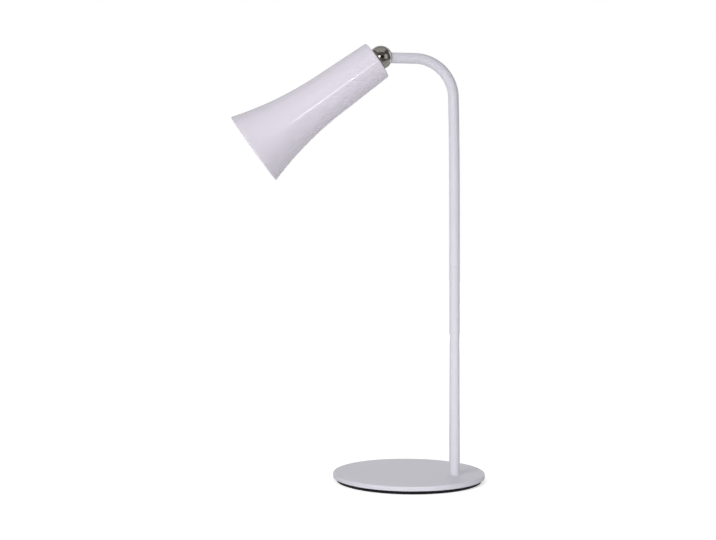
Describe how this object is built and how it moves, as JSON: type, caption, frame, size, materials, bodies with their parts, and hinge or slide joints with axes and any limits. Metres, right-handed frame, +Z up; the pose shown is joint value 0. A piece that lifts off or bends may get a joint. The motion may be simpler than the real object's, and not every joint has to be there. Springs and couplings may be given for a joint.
{
  "type": "desk lamp",
  "caption": "Cordless desk lamp: a round base and a bent tube carry a steel ball, on which a magnetic trumpet-shaped light head tilts, turns and lifts off.",
  "frame": {"origin": "centre of the round base, on the surface that it stands on", "axes": "+Z up along the post; -X along the arm, from the bend towards the ball and the head; +Y away from the side that the post stands on"},
  "size_m": [0.2512, 0.15, 0.4279],
  "materials": {
    "base_paint": "satin",
    "post_paint": "satin",
    "pad_rubber": "matte foam",
    "zinc_steel": "plated",
    "insert_brass": "machined",
    "ball_chrome": "polished",
    "nickel": "nickel plated",
    "shell_plastic": "gloss",
    "black_plastic": "moulded",
    "cell_wrap": "shrink sleeve",
    "board_green": "solder mask",
    "plate_aluminium": "milled",
    "reflector_white": "matte",
    "opal": "opal",
    "led_yellow": "phosphor",
    "wire_sleeve": "sleeve"
  },
  "bodies": {
    "stand": {"base_plate": "base_paint", "base_pad": "pad_rubber", "bolt_washer": "zinc_steel", "post_bolt": "zinc_steel", "foot_insert": "insert_brass", "lower_post": "post_paint", "lower_post_insert": "insert_brass", "joint_stud": "zinc_steel", "upper_post_insert": "insert_brass", "upper_post": "post_paint", "arm_insert": "insert_brass"},
    "swing_stem": {"ball_stem": "zinc_steel"},
    "ball": {"steel_ball": "ball_chrome"},
    "magnet_seat": {"magnet": "nickel", "magnet_keeper": "nickel"},
    "head": {"tail_cap": "shell_plastic", "head_shell": "shell_plastic", "chassis": "black_plastic", "battery_cell": "cell_wrap", "battery_contacts": "nickel", "control_board": "board_green", "board_parts": "black_plastic", "board_screws": "zinc_steel", "charge_port": "zinc_steel", "switch_body": "black_plastic", "battery_leads": "wire_sleeve", "led_leads": "wire_sleeve", "heat_spreader": "plate_aluminium", "led_board": "plate_aluminium", "led_screws": "zinc_steel", "leds": "led_yellow", "reflector": "reflector_white", "diffuser": "opal", "bezel_ring": "shell_plastic"},
    "button": {"button_cap": "shell_plastic", "switch_plunger": "black_plastic"}
  },
  "joints": [
    {"name": "head_swing", "type": "hinge", "parent": "stand", "child": "swing_stem", "pos_m": [-0.03196, -0.02111, 0.41499], "axis": [-1, 0, 0], "continuous": true},
    {"name": "head_tilt", "type": "hinge", "parent": "swing_stem", "child": "ball", "pos_m": [-0.03196, -0.02111, 0.41499], "axis": [0, -0.975, -0.2224], "range_deg": [-116.6, 43.2]},
    {"name": "head_pull_off", "type": "slide", "parent": "ball", "child": "magnet_seat", "axis": [-0.8022, 0.1328, -0.5821], "range_m": [0, 0.04]},
    {"name": "head_roll", "type": "hinge", "parent": "magnet_seat", "child": "head", "pos_m": [-0.03196, -0.02111, 0.41499], "axis": [-0.8022, 0.1328, -0.5821], "continuous": true},
    {"name": "button_press", "type": "slide", "parent": "head", "child": "button", "axis": [0.1853, -0.8714, -0.4542], "range_m": [0, 0.0006], "stiffness_N_per_m": 3000}
  ]
}
